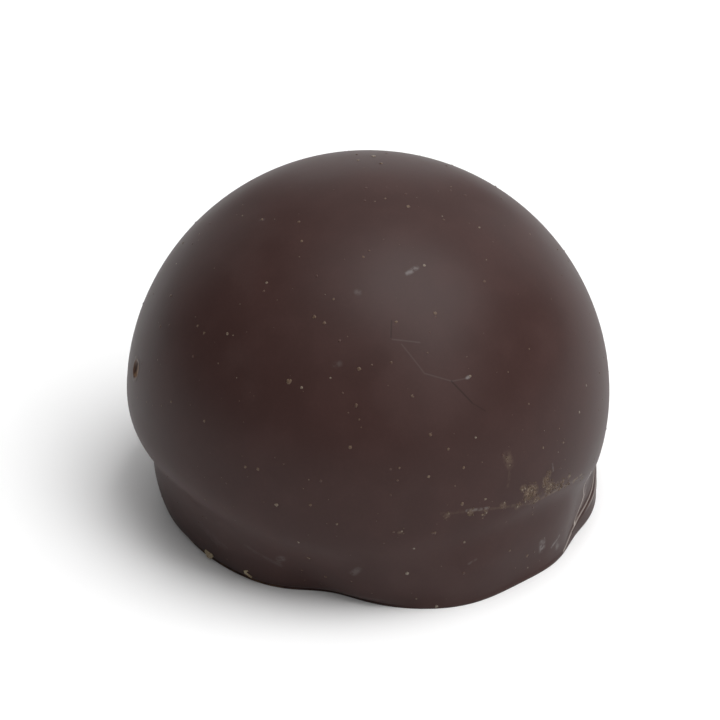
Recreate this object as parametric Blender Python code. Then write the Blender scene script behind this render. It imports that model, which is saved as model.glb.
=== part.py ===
"""Dark chocolate praline: a round dome on a poured, slightly uneven foot.

One solid, in metres, +Z up. The origin is on the table, under the middle of the dome.
A bearing is an angle round the upright axis, in degrees: 0 is +X, 90 is +Y and 270 is
the front, -Y. Lobes make a size rise or fall smoothly near a bearing.
"""

import math

import bmesh
import bpy

MM = 0.001

# The dome is a ball whose middle stands above the table. The foot takes over below it.
DOME_RADIUS = 15.0 * MM
DOME_MIDDLE_HEIGHT = 7.3 * MM

# Low down the dome tucks in further than a ball does. The tuck is given at one
# millimetre below the height where it starts, and grows with a power of the depth.
TUCK_START_HEIGHT = 8.3 * MM
TUCK_AT_ONE_MM = 0.03 * MM
TUCK_POWER = 2.8
TUCK_SHARE_LEAST = 0.05
TUCK_SHARE_LOBES = (
    (200.0, 38.0, 1.12),
)

# The sole on the table: a round puddle that ran to one side, with lobes in its edge.
# Every lobe below is a bearing, a half width in degrees and a height in millimetres.
SOLE_RADIUS = 13.3 * MM
SOLE_SHIFT = 0.95 * MM
SOLE_LOBES = (
    (60.0, 25.0, 0.20),
    (125.0, 22.0, -0.18),
    (230.0, 28.0, -0.34),
    (259.0, 13.0, -1.13),
    (294.0, 15.0, 0.66),
    (322.0, 9.0, 0.14),
    (338.0, 9.0, -0.34),
)
SOLE_ROUND_HEIGHT = 0.15 * MM
SOLE_ROUND_OUT = 0.045 * MM

# The foot's wall bellies out above the sole, so that its lower edge is tucked under.
BELLY_OUT_LEAST = 0.05
BELLY_OUT_LOBES = (
    (100.0, 50.0, 0.30),
    (187.0, 30.0, 0.92),
    (236.0, 22.0, 0.60),
    (265.0, 12.0, 0.62),
)
BELLY_HEIGHT_LEAST = 0.60
BELLY_HEIGHT_LOBES = (
    (100.0, 60.0, 0.60),
    (203.0, 30.0, 1.75),
    (240.0, 14.0, 0.90),
)
BELLY_FOOT_SHARE = 0.5

# The rim is where the dome ends, and a shallow groove runs round under it.
RIM_HEIGHT_LEAST = 4.4
RIM_HEIGHT_LOBES = (
    (60.0, 40.0, -0.80),
    (208.0, 20.0, 0.85),
    (320.0, 20.0, 1.50),
    (262.0, 50.0, 1.10),
    (352.0, 22.0, -1.25),
)
GROOVE_BELOW_RIM = 0.70 * MM
GROOVE_DEPTH_LEAST = 0.05
GROOVE_DEPTH_LOBES = (
    (60.0, 60.0, 0.20),
    (190.0, 14.0, -0.55),
    (214.0, 16.0, 0.22),
    (322.0, 16.0, 0.10),
    (340.0, 26.0, 0.25),
)

# Between groove and belly the wall has a soft shoulder.
SHOULDER_DROP_SHARE = 0.35
SHOULDER_OUT_LEAST = 0.07
SHOULDER_OUT_LOBES = (
    (185.0, 25.0, 0.08),
    (275.0, 30.0, 0.12),
    (320.0, 20.0, 0.12),
)
BELLY_TO_GROOVE_LEAST = 0.44 * MM

# A thin skirt of chocolate ran out at the right. Its upper edge climbs round the wall
# from the table at both ends, and a crease parts it from the wall behind it.
SKIRT_BEARING = 3.0
SKIRT_RUN_TO_FRONT = 34.0
SKIRT_RUN_TO_BACK = 55.0
SKIRT_HEIGHT = 1.75 * MM
SKIRT_WIDTH = 0.24 * MM
SKIRT_FULL_WIDTH_SHARE = 0.9
SKIRT_TOP_SLOPE = 0.3
SKIRT_CREASE_DROP = 0.22 * MM
LEAST_STEP = 0.01 * MM

# How finely the body is divided: round the axis, up each span of the wall, and over
# the dome from its rim to its top.
BEARING_STEPS = 96
SPAN_STEPS = (1, 2, 2, 3, 3, 3, 3)
DOME_STEPS = 21
SLOPE_STEP = 0.001 * MM
SHARP_ANGLE = 50.0

CHOCOLATE_COLOUR = (0.030, 0.016, 0.014, 1.0)
CHOCOLATE_ROUGHNESS = 0.38


def clear_scene():
    for item in list(bpy.data.objects):
        bpy.data.objects.remove(item, do_unlink=True)


def turn_from(centre, bearing):
    """Signed angle from a centre to a bearing, in degrees, the short way round."""
    return (bearing - centre + 180.0) % 360.0 - 180.0


def with_lobes(bearing, least, lobes):
    """A least value, raised or lowered by each lobe near the bearing."""
    value = least
    for centre, half_width, height in lobes:
        value += height * math.exp(-(turn_from(centre, bearing) / half_width) ** 2)
    return value


def sole_radius(bearing):
    shift = SOLE_SHIFT * math.cos(math.radians(bearing))
    return SOLE_RADIUS + shift + with_lobes(bearing, 0.0, SOLE_LOBES) * MM


def dome_radius(bearing, height):
    """Radius of the ball at a height, less the tuck of its underside."""
    tuck = TUCK_AT_ONE_MM * with_lobes(bearing, TUCK_SHARE_LEAST, TUCK_SHARE_LOBES)
    tuck *= max(0.0, (TUCK_START_HEIGHT - height) / MM) ** TUCK_POWER
    return math.sqrt(DOME_RADIUS ** 2 - (height - DOME_MIDDLE_HEIGHT) ** 2) - tuck


def dome_slope(bearing, height):
    """How much the dome's radius grows for each metre of height."""
    above = dome_radius(bearing, height + SLOPE_STEP)
    below = dome_radius(bearing, height - SLOPE_STEP)
    return (above - below) / (2.0 * SLOPE_STEP)


def skirt_share(bearing):
    """How much of the skirt's height stands at a bearing, from 0 to 1."""
    turn = turn_from(SKIRT_BEARING, bearing)
    if turn < 0.0:
        return max(0.0, 1.0 + turn / SKIRT_RUN_TO_FRONT)
    nearness = max(0.0, 1.0 - turn / SKIRT_RUN_TO_BACK)
    return nearness * (2.0 - nearness)


def rim_height_at(bearing):
    return with_lobes(bearing, RIM_HEIGHT_LEAST, RIM_HEIGHT_LOBES) * MM


def wall_points(bearing):
    """Radius and height of the wall's named points, from the sole's edge to the rim."""
    sole = sole_radius(bearing)
    round_edge = sole + SOLE_ROUND_OUT

    share = skirt_share(bearing)
    skirt_height = SOLE_ROUND_HEIGHT + share * SKIRT_HEIGHT + LEAST_STEP
    skirt_width = SKIRT_WIDTH * min(1.0, share / SKIRT_FULL_WIDTH_SHARE)
    skirt_edge = round_edge - SKIRT_TOP_SLOPE * skirt_width
    crease_height = skirt_height + SKIRT_CREASE_DROP

    rim_height = rim_height_at(bearing)
    groove_height = rim_height - GROOVE_BELOW_RIM
    groove_depth = with_lobes(bearing, GROOVE_DEPTH_LEAST, GROOVE_DEPTH_LOBES) * MM
    groove = dome_radius(bearing, groove_height) - groove_depth

    belly_out = with_lobes(bearing, BELLY_OUT_LEAST, BELLY_OUT_LOBES) * MM
    belly = sole - skirt_width + belly_out
    belly_height = skirt_height + with_lobes(bearing, BELLY_HEIGHT_LEAST, BELLY_HEIGHT_LOBES) * MM
    belly_height = min(belly_height, groove_height - BELLY_TO_GROOVE_LEAST)
    crease = belly - BELLY_FOOT_SHARE * belly_out

    shoulder_out = with_lobes(bearing, SHOULDER_OUT_LEAST, SHOULDER_OUT_LOBES) * MM
    shoulder = 0.5 * (groove + belly) + shoulder_out
    shoulder_height = groove_height - SHOULDER_DROP_SHARE * (groove_height - belly_height)

    return (
        (sole, 0.0),
        (round_edge, SOLE_ROUND_HEIGHT),
        (skirt_edge, skirt_height),
        (crease, crease_height),
        (belly, belly_height),
        (shoulder, shoulder_height),
        (groove, groove_height),
        (dome_radius(bearing, rim_height), rim_height),
    )


def smooth_slopes(points, last_slope):
    """Slopes at the points for a curve that never swings past them."""
    rises = []
    for (low_radius, low), (high_radius, high) in zip(points, points[1:]):
        rises.append((high_radius - low_radius) / (high - low))
    slopes = [rises[0]]
    for below, above in zip(rises, rises[1:]):
        turns_back = below * above <= 0.0
        slopes.append(0.0 if turns_back else 2.0 * below * above / (below + above))
    slopes.append(last_slope)
    return slopes


def wall_profile(bearing):
    """Radius and height of every ring from the sole's edge to the rim."""
    points = wall_points(bearing)
    slopes = smooth_slopes(points, dome_slope(bearing, rim_height_at(bearing)))
    profile = [points[0]]
    for span, steps in enumerate(SPAN_STEPS):
        low_radius, low = points[span]
        high_radius, high = points[span + 1]
        for step in range(1, steps + 1):
            t = step / steps
            radius = low_radius * (1.0 + 2.0 * t) * (1.0 - t) ** 2
            radius += high_radius * (3.0 - 2.0 * t) * t ** 2
            radius += slopes[span] * (high - low) * t * (1.0 - t) ** 2
            radius -= slopes[span + 1] * (high - low) * (1.0 - t) * t ** 2
            profile.append((radius, low + t * (high - low)))
    return profile


def dome_profile(bearing):
    """Radius and height of the rings above the rim, without the top point."""
    start = math.asin((rim_height_at(bearing) - DOME_MIDDLE_HEIGHT) / DOME_RADIUS)
    profile = []
    for step in range(1, DOME_STEPS):
        rise = start + (0.5 * math.pi - start) * step / DOME_STEPS
        height = DOME_MIDDLE_HEIGHT + DOME_RADIUS * math.sin(rise)
        profile.append((dome_radius(bearing, height), height))
    return profile


def add_column(mesh, bearing):
    """One upright line of points at a bearing, from the sole's edge to near the top."""
    across = math.cos(math.radians(bearing))
    along = math.sin(math.radians(bearing))
    column = []
    for radius, height in wall_profile(bearing) + dome_profile(bearing):
        column.append(mesh.verts.new((radius * across, radius * along, height)))
    return column


def build_body():
    """The closed skin: side, dome and flat sole."""
    mesh = bmesh.new()
    columns = []
    for step in range(BEARING_STEPS):
        columns.append(add_column(mesh, 360.0 * step / BEARING_STEPS))
    top = mesh.verts.new((0.0, 0.0, DOME_MIDDLE_HEIGHT + DOME_RADIUS))
    for index, column in enumerate(columns):
        beside = columns[(index + 1) % BEARING_STEPS]
        for low in range(len(column) - 1):
            mesh.faces.new((column[low], beside[low], beside[low + 1], column[low + 1]))
        mesh.faces.new((column[-1], beside[-1], top))
    sole = mesh.faces.new([column[0] for column in reversed(columns)])
    bmesh.ops.poke(mesh, faces=[sole])
    bmesh.ops.recalc_face_normals(mesh, faces=mesh.faces)
    return mesh


def chocolate_material():
    material = bpy.data.materials.new("dark_chocolate")
    material.use_nodes = True
    shader = material.node_tree.nodes["Principled BSDF"]
    shader.inputs["Base Color"].default_value = CHOCOLATE_COLOUR
    shader.inputs["Roughness"].default_value = CHOCOLATE_ROUGHNESS
    shader.inputs["Metallic"].default_value = 0.0
    return material


def add_praline():
    data = bpy.data.meshes.new("praline_body")
    body = build_body()
    body.to_mesh(data)
    body.free()
    data.shade_smooth()
    data.set_sharp_from_angle(angle=math.radians(SHARP_ANGLE))
    data.materials.append(chocolate_material())
    praline = bpy.data.objects.new("praline_body", data)
    bpy.context.scene.collection.objects.link(praline)


def main():
    clear_scene()
    add_praline()


main()
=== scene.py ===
"""Dressing of a dark chocolate praline: its poured coat, specks, crumbs, flakes and studio.

Lengths are in metres. A bearing is an angle round the upright axis in degrees: 0 is +X,
90 is +Y and 270 is the front. A lift is an angle above level, seen from the dome's middle.
"""

import math

import bmesh
import bpy
import numpy as np
from bpy.props import FloatProperty, FloatVectorProperty, IntProperty, PointerProperty
from mathutils import Matrix, Vector
from mathutils.bvhtree import BVHTree


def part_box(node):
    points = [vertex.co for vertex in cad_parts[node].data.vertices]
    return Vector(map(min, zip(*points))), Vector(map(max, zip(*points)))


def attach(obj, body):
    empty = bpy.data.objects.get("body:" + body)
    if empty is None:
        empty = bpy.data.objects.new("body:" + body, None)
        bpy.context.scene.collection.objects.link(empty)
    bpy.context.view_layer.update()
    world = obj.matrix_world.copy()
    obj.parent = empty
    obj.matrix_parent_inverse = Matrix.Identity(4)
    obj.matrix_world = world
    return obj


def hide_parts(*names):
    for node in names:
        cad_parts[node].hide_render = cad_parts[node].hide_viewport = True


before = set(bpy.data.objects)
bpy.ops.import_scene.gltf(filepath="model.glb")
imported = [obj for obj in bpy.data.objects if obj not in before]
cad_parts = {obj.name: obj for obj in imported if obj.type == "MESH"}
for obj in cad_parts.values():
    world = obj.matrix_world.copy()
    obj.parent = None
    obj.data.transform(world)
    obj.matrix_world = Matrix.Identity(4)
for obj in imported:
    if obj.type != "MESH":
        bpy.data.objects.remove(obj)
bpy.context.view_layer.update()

bl_info = {
    "name": "Chocolate Praline",
    "version": (1, 0, 0),
    "blender": (4, 5, 0),
    "location": "View3D > Sidebar > Praline",
    "description": "Dresses a dark chocolate praline and sets up a pale studio for it",
    "category": "Object",
}

BODY = "root"
PRALINE_NODE = "praline_body"
MM = 0.001

# The dome is a ball. Its radius and the height of its middle come from the frame.
PRALINE_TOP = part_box(PRALINE_NODE)[1]
DOME_RADIUS = PRALINE_TOP.x
DOME_MIDDLE_HEIGHT = PRALINE_TOP.z - DOME_RADIUS
DOME_MIDDLE = Vector((0.0, 0.0, DOME_MIDDLE_HEIGHT))

# Low down the dome tucks in further than a ball does.
TUCK_START_HEIGHT = DOME_MIDDLE_HEIGHT + 1.0 * MM
TUCK_AT_ONE_MM = 0.03 * MM
TUCK_POWER = 2.8
TUCK_SHARE_LEAST = 0.05
TUCK_SHARE_LOBES = ((200, 38, 1.12),)

# Every lobe is a bearing, a half width in degrees and a height in millimetres.
SOLE_LOBES = (
    (60, 25, 0.20),
    (125, 22, -0.18),
    (230, 28, -0.34),
    (259, 13, -1.13),
    (294, 15, 0.66),
    (322, 9, 0.14),
    (338, 9, -0.34),
)
SOLE_ROUND_HEIGHT = 0.15 * MM
SOLE_ROUND_OUT = 0.045 * MM

BELLY_OUT_LEAST = 0.05
BELLY_OUT_LOBES = (
    (100, 50, 0.30),
    (187, 30, 0.92),
    (236, 22, 0.60),
    (265, 12, 0.62),
)
BELLY_HEIGHT_LEAST = 0.60
BELLY_HEIGHT_LOBES = (
    (100, 60, 0.60),
    (203, 30, 1.75),
    (240, 14, 0.90),
)
BELLY_FOOT_SHARE = 0.5

RIM_HEIGHT_LEAST = 4.4
RIM_HEIGHT_LOBES = (
    (60, 40, -0.80),
    (208, 20, 0.85),
    (320, 20, 1.50),
    (262, 50, 1.10),
    (352, 22, -1.25),
)
GROOVE_BELOW_RIM = 0.70 * MM
GROOVE_DEPTH_LEAST = 0.05
GROOVE_DEPTH_LOBES = (
    (60, 60, 0.20),
    (190, 14, -0.55),
    (214, 16, 0.22),
    (322, 16, 0.10),
    (340, 26, 0.25),
)

SHOULDER_DROP_SHARE = 0.35
SHOULDER_OUT_LEAST = 0.07
SHOULDER_OUT_LOBES = (
    (185, 25, 0.08),
    (275, 30, 0.12),
    (320, 20, 0.12),
)
BELLY_TO_GROOVE_LEAST = 0.44 * MM

SKIRT_BEARING = 3.0
SKIRT_RUN_TO_FRONT = 34.0
SKIRT_RUN_TO_BACK = 55.0
SKIRT_FULL_WIDTH_SHARE = 0.9
SKIRT_TOP_SLOPE = 0.3
SKIRT_CREASE_DROP = 0.22 * MM
LEAST_STEP = 0.01 * MM

# Thin folds run round the skirt. Each is its share of the crease's height, its depth in
# millimetres, the share of the skirt where it starts and how strong the painted highlight on its
# edge is.
FOLDS = (
    (1.0, 0.11, 0.0, 0.65),
    (0.70, 0.07, 0.40, 0.55),
    (0.42, 0.05, 0.55, 0.40),
)
FOLD_RISE = 0.12 * MM
FOLD_WIDTH = 0.11 * MM
# Width of the painted highlight on each fold's edge.
FOLD_HIGHLIGHT_WIDTH = 0.13 * MM

# A thin lip of the sole stands out at the lower left.
LIP_LOBES = ((222.0, 22.0, 0.16),)
LIP_HEIGHT = 0.22 * MM

SLOPE_STEP = 0.001 * MM

# How finely each span of the wall is divided, from the sole's edge to the rim.
SPAN_STEPS = (3, 20, 5, 14, 14, 8, 7)
BELLY_POINT = 4
# The poured coat rounds the wall's rim off, from the belly up to this height.
SOFT_TOP = 9.5 * MM

# A burst bubble left a small round pit in the dome's left side.
PIT_BEARING = 192.0
PIT_LIFT = 13.3
PIT_REFINE_REACH = 1.2 * MM
PIT_REFINE_CUTS = 3
PIT_RING_SHARE = 0.12

# The low waves of the dome and the foot fade in and out between these heights.
DOME_WAVE_START = (1.0 * MM, 6.0 * MM)
FOOT_WAVE_START = (0.15 * MM, 0.9 * MM)
FOOT_WAVE_END = (3.4 * MM, 6.5 * MM)

# Widths of the blots that the coat's colour and surface are mottled with.
BLOT_WIDTH = 2.6 * MM
GRAIN_WIDTH = 0.22 * MM
WEAR_WIDTH = 0.30 * MM
HAZE_WIDTH = 5.0 * MM
DUST_WIDTH = 0.16 * MM
RIPPLE_WIDTH = 1.3 * MM
FINE_RIPPLE_WIDTH = 0.35 * MM
FLAKE_GRAIN_WIDTH = 0.10 * MM

CHOCOLATE_IOR = 1.30
SPECK_IOR = 1.35
BUMP_HEIGHT = 0.006 * MM
# The painted fold highlights fade out from Y = 0 to this distance toward the back.
FOLD_HIGHLIGHT_START = 4.0 * MM

# The camera's frame is this wide on its sensor.
SENSOR_WIDTH = 36.0
NODE_SPACING = 180.0


def shade(red, green, blue):
    """A colour with full alpha."""
    return (red, green, blue, 1.0)


def length_property(name, description, millimetres):
    return FloatProperty(
        name=name,
        description=description,
        default=millimetres * MM,
        precision=5,
        unit="LENGTH",
    )


def angle_property(name, description, degrees):
    return FloatProperty(
        name=name,
        description=description,
        default=math.radians(degrees),
        subtype="ANGLE",
    )


def share_property(name, description, share):
    return FloatProperty(name=name, description=description, default=share, subtype="FACTOR")


def colour_property(name, description, red, green, blue):
    return FloatVectorProperty(
        name=name,
        description=description,
        default=shade(red, green, blue),
        size=4,
        subtype="COLOR",
        min=0.0,
        max=1.0,
    )


class CoatSettings(bpy.types.PropertyGroup):
    """Sizes and colours of the poured coat."""

    sole_radius: length_property("Sole Radius", "Radius of the foot on the table", 13.3)
    sole_shift: length_property("Sole Shift", "How far the foot ran to the right", 0.95)
    skirt_height: length_property("Skirt Height", "Height of the thin skirt at the right", 1.75)
    skirt_width: length_property("Skirt Width", "How far the skirt stands out", 0.24)
    fold_depth: share_property("Fold Depth", "Share of the skirt folds' full depth", 1.0)
    dome_wave: length_property("Dome Wave", "Height of the low waves over the dome", 0.030)
    foot_wave: length_property("Foot Wave", "Height of the waves round the foot", 0.10)
    wave_width: length_property("Wave Width", "Width of one low wave", 9.0)
    foot_wave_width: length_property("Foot Wave Width", "Width of one wave in the foot", 3.2)
    pit_radius: length_property("Pit Radius", "Radius of the burst bubble's pit", 0.58)
    pit_depth: length_property("Pit Depth", "Depth of the burst bubble's pit", 0.15)
    rim_softness: length_property("Rim Softness", "Over what height the rim is rounded", 0.70)
    columns: IntProperty(name="Columns", description="Upright lines of points", default=480)
    dome_rings: IntProperty(name="Dome Rings", description="Rings over the dome", default=98)
    colour: colour_property("Chocolate", "Colour of the chocolate", 0.0518, 0.0263, 0.0236)
    deep_colour: colour_property("Deep Chocolate", "Its darker mottling", 0.0436, 0.0221, 0.0198)
    bloom_colour: colour_property("Bloom", "Colour of scuffs and fat bloom", 0.185, 0.168, 0.163)
    # The tan colour is also painted as light on one side of the pit and along the lip's lower edge.
    tan_colour: colour_property("Tan", "Colour of thin dry edges", 0.175, 0.100, 0.057)
    dust_colour: colour_property("Dust", "Colour of fine crumb dust", 0.150, 0.108, 0.076)
    dust: share_property("Dust Share", "How much fine dust lies among the crumbs", 0.80)
    roughness: share_property("Roughness", "Roughness of the set coat", 0.40)
    gloss: share_property("Gloss", "How much of the coat is satin; the rest is matt", 0.70)


class SpeckSettings(bpy.types.PropertyGroup):
    """Sizes and colours of the specks, crumbs and flakes."""

    count: IntProperty(name="Specks", description="Fine specks all over the coat", default=640)
    fine_radius: length_property("Fine Radius", "Radius of the smallest speck", 0.030)
    coarse_radius: length_property("Coarse Radius", "Radius of the largest fine speck", 0.10)
    crumb_count: IntProperty(name="Crumbs", description="Crumbs along the rim", default=1100)
    least_crumb: length_property("Least Crumb", "Radius of the smallest crumb", 0.020)
    largest_crumb: length_property("Largest Crumb", "Radius of the largest crumb", 0.075)
    flake_thickness: length_property("Flake Thickness", "Thickness of a wafer flake", 0.09)
    dull_colour: colour_property("Dull Speck", "Colour of the dullest speck", 0.060, 0.029, 0.023)
    crust_colour: colour_property("Crust", "Colour of the darkest crumb", 0.066, 0.040, 0.026)
    tan_colour: colour_property("Tan Speck", "Colour of a nut speck", 0.114, 0.074, 0.049)
    pale_colour: colour_property("Pale Speck", "Colour of a sugar speck", 0.20, 0.166, 0.131)
    flake_colour: colour_property("Flake", "Colour of a wafer flake", 0.40, 0.33, 0.22)
    seed: IntProperty(name="Seed", description="Seed of everything scattered", default=11)


class StageSettings(bpy.types.PropertyGroup):
    """Camera, floor and lights."""

    camera_lift: angle_property("Camera Lift", "Angle of the view above level", 31.0)
    camera_distance: length_property("Camera Distance", "From the dome's middle", 420.0)
    frame_width: length_property("Frame Width", "Width of the view at the dome's middle", 44.72)
    aim_right: length_property("Aim Right", "Aim to the right of the dome's middle", -0.497)
    aim_up: length_property("Aim Up", "Aim above the dome's middle", 1.957)
    floor_size: length_property("Floor Size", "Side of the square floor", 6000.0)
    floor_colour: colour_property("Floor", "Colour of the floor", 0.92, 0.92, 0.92)
    floor_glow: FloatProperty(name="Floor Glow", description="Light from the floor", default=0.05)
    sky: FloatProperty(name="Sky", description="Light from the white surroundings", default=0.0)


class Wire:
    """One socket of a node tree. Arithmetic on wires adds Math nodes to their tree."""

    def __init__(self, tree, socket=None):
        self.tree = tree
        self.socket = socket

    def add(self, kind, settings=None, sockets=None, output=0):
        """Adds any node: its settings first, then the values or wires of its sockets."""
        node = self.tree.nodes.new(kind)
        node.location.x = NODE_SPACING * len(self.tree.nodes)
        for name, value in (settings or {}).items():
            if name == "stops":
                set_stops(node.color_ramp, value)
            else:
                setattr(node, name, value)
        for key, value in (sockets or {}).items():
            if isinstance(value, Wire):
                self.tree.links.new(value.socket, node.inputs[key])
            else:
                node.inputs[key].default_value = value
        return Wire(self.tree, node.outputs[output] if node.outputs else None)

    def math(self, operation, *values):
        return self.add("ShaderNodeMath", {"operation": operation}, dict(enumerate(values)))

    def vector(self, operation, *values):
        """A Vector Math node that gives a vector."""
        return self.add("ShaderNodeVectorMath", {"operation": operation}, dict(enumerate(values)))

    def measure(self, operation, *values):
        """A Vector Math node that gives a number, such as a distance."""
        settings = {"operation": operation}
        return self.add("ShaderNodeVectorMath", settings, dict(enumerate(values)), output=1)

    def times(self, number):
        """This vector, made longer or shorter."""
        return self.add("ShaderNodeVectorMath", {"operation": "SCALE"}, {0: self, 3: number})

    def fade(self, near, far):
        """1 up to near, 0 from far on, and smooth between them."""
        settings = {"interpolation_type": "SMOOTHSTEP"}
        return self.add("ShaderNodeMapRange", settings, {0: self, 1: near, 2: far, 3: 1.0, 4: 0.0})

    def rise(self, near, far):
        """0 up to near, 1 from far on, and smooth between them."""
        settings = {"interpolation_type": "SMOOTHSTEP"}
        return self.add("ShaderNodeMapRange", settings, {0: self, 1: near, 2: far, 3: 0.0, 4: 1.0})

    def noise(self, width, detail=2.0):
        """Noise over these coordinates, whose blots are about as wide as width."""
        sockets = {"Vector": self, "Scale": 1.0 / width, "Detail": detail}
        return self.add("ShaderNodeTexNoise", None, sockets)

    def part(self, index):
        """The X, Y or Z of this vector, by its index."""
        return self.add("ShaderNodeSeparateXYZ", None, {0: self}, output=index)

    def mix(self, first, second):
        """The first colour where this wire is 0, and the second where it is 1."""
        settings = {"data_type": "RGBA"}
        return self.add("ShaderNodeMix", settings, {0: self, 6: first, 7: second}, output=2)

    def __add__(self, other):
        return self.math("ADD", self, other)

    def __radd__(self, other):
        return self.math("ADD", other, self)

    def __sub__(self, other):
        return self.math("SUBTRACT", self, other)

    def __rsub__(self, other):
        return self.math("SUBTRACT", other, self)

    def __mul__(self, other):
        return self.math("MULTIPLY", self, other)

    def __rmul__(self, other):
        return self.math("MULTIPLY", other, self)

    def __truediv__(self, other):
        return self.math("DIVIDE", self, other)

    def __rtruediv__(self, other):
        return self.math("DIVIDE", other, self)

    def __pow__(self, other):
        return self.math("POWER", self, other)

    def __abs__(self):
        return self.math("ABSOLUTE", self)


def new_material(name):
    """A material with an empty node tree, and a wire to build it from."""
    material = bpy.data.materials.new(name)
    material.use_nodes = True
    material.node_tree.nodes.clear()
    return material, Wire(material.node_tree)


def set_stops(ramp, stops):
    """Gives a colour ramp its stops, each a position and a colour."""
    while len(ramp.elements) > 1:
        ramp.elements.remove(ramp.elements[-1])
    ramp.elements[0].position, ramp.elements[0].color = stops[0]
    for position, colour in stops[1:]:
        ramp.elements.new(position).color = colour


def direction(bearing, lift):
    """Unit vector from the dome's middle toward a bearing and a lift."""
    level = math.cos(math.radians(lift))
    across = level * math.cos(math.radians(bearing))
    along = level * math.sin(math.radians(bearing))
    return Vector((across, along, math.sin(math.radians(lift))))


def pit_centre():
    return DOME_MIDDLE + DOME_RADIUS * direction(PIT_BEARING, PIT_LIFT)


def turn_from(centre, bearing):
    """Signed angle from a centre to a bearing, in degrees, the short way round."""
    return (bearing - centre + 180.0) % 360.0 - 180.0


def with_lobes(bearing, least, lobes):
    """A least value, raised or lowered by each lobe near the bearing."""
    value = least
    for centre, half_width, height in lobes:
        value += height * math.exp(-(turn_from(centre, bearing) / half_width) ** 2)
    return value


def sole_radius(coat, bearing):
    shift = coat.sole_shift * math.cos(math.radians(bearing))
    return coat.sole_radius + shift + with_lobes(bearing, 0.0, SOLE_LOBES) * MM


def dome_radius(bearing, height):
    """Radius of the ball at a height, less the tuck of its underside."""
    tuck = TUCK_AT_ONE_MM * with_lobes(bearing, TUCK_SHARE_LEAST, TUCK_SHARE_LOBES)
    tuck *= max(0.0, (TUCK_START_HEIGHT - height) / MM) ** TUCK_POWER
    return math.sqrt(DOME_RADIUS ** 2 - (height - DOME_MIDDLE_HEIGHT) ** 2) - tuck


def dome_slope(bearing, height):
    """How much the dome's radius grows for each metre of height."""
    above = dome_radius(bearing, height + SLOPE_STEP)
    below = dome_radius(bearing, height - SLOPE_STEP)
    return (above - below) / (2.0 * SLOPE_STEP)


def skirt_share(bearing):
    """How much of the skirt's height stands at a bearing, from 0 to 1."""
    turn = turn_from(SKIRT_BEARING, bearing)
    if turn < 0.0:
        return max(0.0, 1.0 + turn / SKIRT_RUN_TO_FRONT)
    nearness = max(0.0, 1.0 - turn / SKIRT_RUN_TO_BACK)
    return nearness * (2.0 - nearness)


def skirt_top(coat, bearing):
    return SOLE_ROUND_HEIGHT + skirt_share(bearing) * coat.skirt_height + LEAST_STEP


def rim_height_at(bearing):
    return with_lobes(bearing, RIM_HEIGHT_LEAST, RIM_HEIGHT_LOBES) * MM


def wall_points(coat, bearing):
    """Radius and height of the wall's named points, from the sole's edge to the rim."""
    sole = sole_radius(coat, bearing)
    round_edge = sole + SOLE_ROUND_OUT

    share = skirt_share(bearing)
    skirt_height = skirt_top(coat, bearing)
    skirt_width = coat.skirt_width * min(1.0, share / SKIRT_FULL_WIDTH_SHARE)
    skirt_edge = round_edge - SKIRT_TOP_SLOPE * skirt_width
    crease_height = skirt_height + SKIRT_CREASE_DROP

    rim_height = rim_height_at(bearing)
    groove_height = rim_height - GROOVE_BELOW_RIM
    groove_depth = with_lobes(bearing, GROOVE_DEPTH_LEAST, GROOVE_DEPTH_LOBES) * MM
    groove = dome_radius(bearing, groove_height) - groove_depth

    belly_out = with_lobes(bearing, BELLY_OUT_LEAST, BELLY_OUT_LOBES) * MM
    belly = sole - skirt_width + belly_out
    belly_height = skirt_height + with_lobes(bearing, BELLY_HEIGHT_LEAST, BELLY_HEIGHT_LOBES) * MM
    belly_height = min(belly_height, groove_height - BELLY_TO_GROOVE_LEAST)
    crease = belly - BELLY_FOOT_SHARE * belly_out

    shoulder_out = with_lobes(bearing, SHOULDER_OUT_LEAST, SHOULDER_OUT_LOBES) * MM
    shoulder = 0.5 * (groove + belly) + shoulder_out
    shoulder_height = groove_height - SHOULDER_DROP_SHARE * (groove_height - belly_height)

    return (
        (sole, 0.0),
        (round_edge, SOLE_ROUND_HEIGHT),
        (skirt_edge, skirt_height),
        (crease, crease_height),
        (belly, belly_height),
        (shoulder, shoulder_height),
        (groove, groove_height),
        (dome_radius(bearing, rim_height), rim_height),
    )


def smooth_slopes(points, last_slope):
    """Slopes at the points for a curve that never swings past them."""
    rises = []
    for (low_radius, low), (high_radius, high) in zip(points, points[1:]):
        rises.append((high_radius - low_radius) / (high - low))
    slopes = [rises[0]]
    for below, above in zip(rises, rises[1:]):
        turns_back = below * above <= 0.0
        slopes.append(0.0 if turns_back else 2.0 * below * above / (below + above))
    slopes.append(last_slope)
    return slopes


def fine_relief(coat, bearing, height):
    """How far the folds and the lip move the wall out at a height, in metres."""
    share = skirt_share(bearing)
    crease = skirt_top(coat, bearing) + SKIRT_CREASE_DROP
    out = 0.0
    for place, depth, start, _ in FOLDS:
        strength = min(1.0, max(0.0, 4.0 * (share - start)))
        away = (height - place * crease - FOLD_RISE) / FOLD_WIDTH
        out += coat.fold_depth * depth * MM * strength * math.exp(-away * away)
    lip = with_lobes(bearing, 0.0, LIP_LOBES) * MM
    return out + lip * max(0.0, 1.0 - height / LIP_HEIGHT)


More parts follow.
